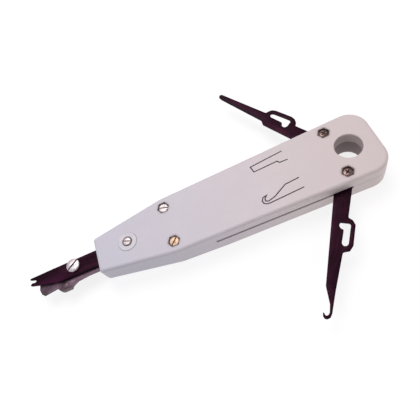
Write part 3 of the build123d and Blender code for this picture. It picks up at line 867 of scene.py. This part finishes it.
def blade_axes(joint, angle, side):
    """Two functions of a plan point: to its place along a blade and towards its finger loop, and back."""
    pivot = PIVOTS[joint]
    c, s = math.cos(angle), math.sin(angle)
    ahead, across = Vector((c, s)), Vector((-s, c)) * side

    def local(p):
        x, y = p.x - pivot.x, p.y - pivot.y
        return Vector((x * c + y * s, side * (y * c - x * s)))

    def world(p):
        return pivot.xy + ahead * p.x + across * p.y

    return local, world


def hook_blade():
    """Hook that thins from its shoulder towards the bend."""
    local, world = blade_axes("hook_pivot", HOOK_ANGLE, 1)
    bm = plate("hook_blade", BLADE_CORNER)
    shoulder, bend, cuts = 51 * MM, 63 * MM, 5
    for k in range(cuts + 1):
        x = shoulder + (bend - shoulder) * k / cuts
        cut_line(bm, world(Vector((x, 0))), world(Vector((x, 1))))
    thinned(bm, lambda v: 1.0 - 0.22 * unit((local(v.co).x - shoulder) / (bend - shoulder)))
    detail(from_bmesh(bm), "hook_blade", "hook", "blackened_steel", BLACK_HOOK)


def knife_blade():
    """Blade with a straight ground edge on the side away from its finger loop."""
    local, world = blade_axes("knife_pivot", KNIFE_ANGLE, -1)
    bm = plate("knife_blade", BLADE_CORNER)
    heel, point, width = Vector((33.9, -3.5)) * MM, Vector((62.6, -1.0)) * MM, 1.5 * MM
    run = (point - heel).normalized()
    inward = Vector((-run.y, run.x))
    cut_line(bm, world(heel + inward * width), world(point + inward * width))
    cut_line(bm, world(heel), world(heel + Vector((0, MM))))

    def depth(p):
        """Share of the way from the ground line to the cutting edge."""
        if p.x < heel.x - 0.01 * MM:
            return 0.0
        return unit(1.0 - (p - heel).dot(inward) / width)

    thinned(bm, lambda v: 1.0 - 0.84 * depth(local(v.co)))
    for f in bm.faces:
        f.material_index = 1 if depth(local(f.calc_center_median())) > 0.02 else 0
    detail(from_bmesh(bm), "knife_blade", "knife", "blackened_steel", BLACK_KNIFE, GROUND)


# ======================================================================
# Nose
# ======================================================================


def insertion_blade():
    """Forked blade that thins towards its two prongs."""
    bm = plate("insertion_blade", 0.5 * MM)
    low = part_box("insertion_blade")[0]
    start, end, cuts = low.x + 13 * MM, low.x + 1 * MM, 7
    for k in range(cuts + 1):
        x = start + (end - start) * k / cuts
        cut_line(bm, (x, 0), (x, 1))
    thinned(bm, lambda v: 1.0 - 0.35 * unit((v.co.x - start) / (end - start)))
    detail(from_bmesh(bm), "insertion_blade", "nose_slide", "blackened_steel", BLACK_NOSE)


def cutter_jaw():
    """Jaw with softened edges and a low pressed boss on its tab."""
    node = "cutter_jaw"
    low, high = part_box(node)
    bm = welded(node)
    bmesh.ops.dissolve_limit(bm, angle_limit=math.radians(0.6), verts=bm.verts, edges=bm.edges)
    body = softened(from_bmesh(bm), 0.22 * MM, 3)
    foot, root, rise = high.z - 0.3 * MM, high.z + 0.02 * MM, 0.20 * MM
    dome = [(0, foot), (1.75 * MM, foot), (1.7 * MM, root)]
    for k in range(1, 7):
        a = math.pi / 2 * k / 6
        dome.append((1.65 * MM * math.cos(a), root + rise * math.sin(a)))
    boss = lathe(dome, (low.x + 13.0 * MM, low.y + 1.9 * MM), 40)
    detail(joined(body, boss), node, "cutter", "cutter_steel", CUTTER)


def nose_fastener():
    """Large slotted screw with its nut."""
    node, nut = "nose_screw", "nose_nut"
    head_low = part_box("insertion_blade")[1].z
    head = slotted_head(node, head_low, 3.38 * MM, 0.62 * MM, 34, (0.8 * MM, 0.75 * MM))
    screw = joined(head, threaded(node, 1.79 * MM, head_low, steps=36))
    detail(screw, node, "nose_slide", "bright_steel", BRIGHT, SLOT_SHADE)
    detail(hex_nut(nut, 1.81 * MM), nut, "nose_slide", "bright_steel", BRIGHT)


def lock():
    """Small bright screw in the middle of the dial, in a dark ring that is painted shade for the gap round
    it.
    """
    node = "lock_screw"
    head_low = head_top(node).z - 0.8 * MM
    head = slotted_head(node, head_low, 1.98 * MM, 0.34 * MM, -22, (0.5 * MM, 0.42 * MM))
    screw = joined(head, threaded(node, 0.99 * MM, head_low))
    detail(screw, node, "lock", "bright_steel", PALE, SLOT_SHADE)
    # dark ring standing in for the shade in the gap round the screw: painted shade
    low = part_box("lock_dial")[1].z - 0.35 * MM
    inner, outer, side, top = 2.02 * MM, 2.48 * MM, low + 0.16 * MM, low + 0.22 * MM
    ring = [(inner, low), (outer, low), (outer, side), (outer - 0.08 * MM, top)]
    ring += [(inner + 0.08 * MM, top), (inner, side)]
    piece(lathe(ring, middle(node), 64, closed=True), "lock_gap_shade_ring", "lock", "dark_screw", DARK)


# ======================================================================
# Studio
# ======================================================================


def floor():
    """Plain pale sheet under the tool, bright enough to come out white."""
    bm = bmesh.new()
    bmesh.ops.create_grid(bm, x_segments=8, y_segments=8, size=2.0)
    mesh = from_bmesh(bm)
    made = link(mesh, "studio_floor")
    made.location.z = CAD_BOX[0][2] - 0.02 * MM
    look = Look("studio_floor", roughness=0.9)
    look.colour((0.25, 0.2485, 0.25, 1.0))
    look.shader.inputs["Emission Color"].default_value = (1.0, 0.995, 1.0, 1.0)
    look.shader.inputs["Emission Strength"].default_value = 0.79
    look.shader.inputs["Specular IOR Level"].default_value = 0.1
    mesh.materials.append(look.material)


def soft_light(name, place, aim, size, power, colour):
    """Round area light that looks at aim."""
    data = bpy.data.lights.new(name, "AREA")
    data.shape = "DISK"
    data.size = size
    data.energy = power
    data.color = colour
    lamp = link(data, name)
    lamp.location = place
    lamp.rotation_euler = (aim - Vector(place)).to_track_quat("-Z", "Y").to_euler()


def studio():
    """White surroundings, a key light from the knife's side and two weak tinted lights."""
    world = bpy.data.worlds.new("studio")
    bpy.context.scene.world = world
    world.use_nodes = True
    background = world.node_tree.nodes["Background"]
    background.inputs["Color"].default_value = (1.0, 0.985, 1.0, 1.0)
    background.inputs["Strength"].default_value = 0.42
    aim = Vector((-0.06, 0.0, 0.0))
    soft_light("key", (-0.10, 0.45, 0.85), aim, 0.7, 5.1, (1.0, 0.98, 1.0))
    soft_light("cool_front", (-0.75, -0.05, 0.45), aim, 0.5, 1.0, (0.88, 0.92, 1.0))
    soft_light("warm_rear", (0.70, -0.10, 0.50), aim, 0.5, 1.0, (1.0, 0.90, 0.86))
    settings = bpy.context.scene.view_settings
    settings.view_transform = "Standard"
    settings.look = "None"


def camera():
    """The photograph's camera: from above the hook's side, rolled."""
    data = bpy.data.cameras.new("camera")
    data.sensor_width = 36
    data.lens = 36
    data.clip_start = 0.005
    made = link(data, "camera")
    made.location = (-0.05893, -0.10054, 0.18263)
    aim = Vector((-0.0703, 0.0023, 0.0075))
    roll = Quaternion((0, 0, 1), math.radians(-28.87))
    made.rotation_mode = "QUATERNION"
    made.rotation_quaternion = (aim - made.location).to_track_quat("-Z", "Y") @ roll
    bpy.context.scene.camera = made


# ======================================================================
# Assembly
# ======================================================================

recolour(PLASTIC_UPPER, "upper_shell")
recolour(PLASTIC_LOWER, "lower_shell")
recolour(DIAL, "lock_dial")
recolour(CARRIER, "cam_plate", "blade_carrier", "spring_seat")
recolour(BRIGHT, "tang_pins", "nose_washer", "cam_follower", "lock_cam")
recolour(DARK, "pivot_bush_left", "pivot_bush_right", "pivot_washer_left", "pivot_washer_right")

engraved_marks()
handle_screws()
drive_spring()
hook_blade()
knife_blade()
insertion_blade()
cutter_jaw()
nose_fastener()
lock()

floor()
studio()
camera()
